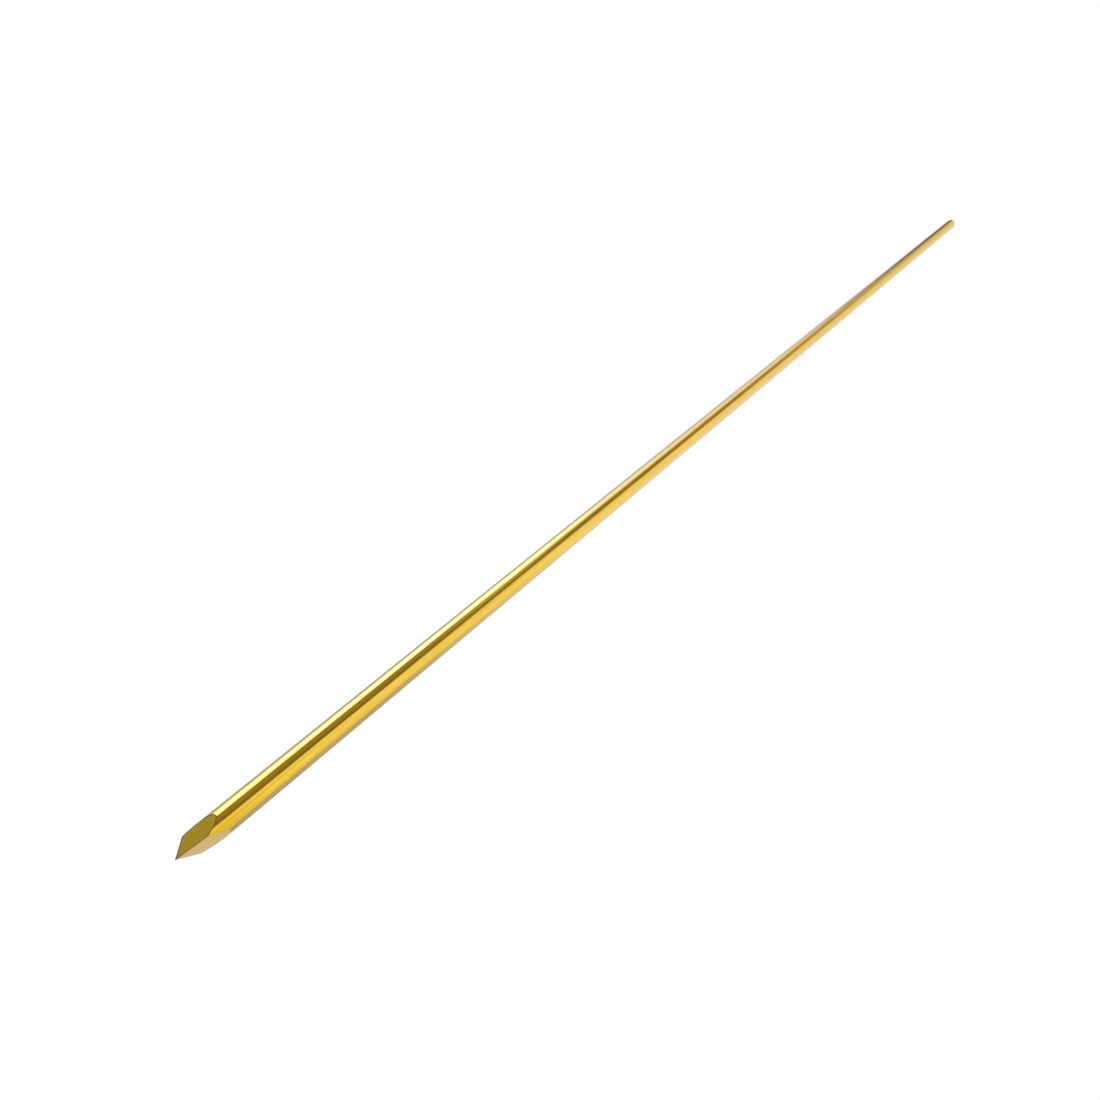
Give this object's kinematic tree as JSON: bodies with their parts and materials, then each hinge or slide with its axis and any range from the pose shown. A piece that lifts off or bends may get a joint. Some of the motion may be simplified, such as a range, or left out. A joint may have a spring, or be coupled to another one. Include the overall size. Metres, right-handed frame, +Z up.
{
  "type": "plumb bob",
  "caption": "Slim rod-form brass plumb bob: a long round shaft with a screw-in cap for the cord and a screw-in, bevel-ground point.",
  "frame": {"origin": "middle of the cord hole's mouth, in the cap's top face", "axes": "+Z up along the bob's axis as it hangs, from the tip to the cord; -Y between the two bevels that meet at the most forward ridge"},
  "size_m": [0.008, 0.008, 0.968],
  "materials": {
    "drawn_brass": "drawn and polished, clear-lacquered",
    "ground_brass": "fine-ground bevels, clear-lacquered",
    "nitrile_rubber": "moulded, matte"
  },
  "bodies": {
    "shaft": {"shaft": "drawn_brass"},
    "cap_ring": {"cap_ring": "nitrile_rubber"},
    "cord_cap": {"cord_cap": "drawn_brass"},
    "point_ring": {"point_ring": "nitrile_rubber"},
    "point": {"point": "ground_brass"}
  },
  "joints": [
    {"name": "cap_rise", "type": "slide", "parent": "shaft", "child": "cap_ring", "axis": [0, 0, 1], "range_m": [0, 0.007]},
    {"name": "cap_turn", "type": "hinge", "parent": "cap_ring", "child": "cord_cap", "pos_m": [0, 0, -0.012], "axis": [0, 0, 1], "range_deg": [0, 2520]},
    {"name": "point_drop", "type": "slide", "parent": "shaft", "child": "point_ring", "axis": [0, 0, -1], "range_m": [0, 0.007]},
    {"name": "point_turn", "type": "hinge", "parent": "point_ring", "child": "point", "pos_m": [0, 0, -0.9496], "axis": [0, 0, -1], "range_deg": [0, 2520]}
  ],
  "couplings": [
    {"joint": "cap_turn", "follows": "cap_rise", "rad_per_m": 6283.2},
    {"joint": "point_turn", "follows": "point_drop", "rad_per_m": 6283.2}
  ]
}
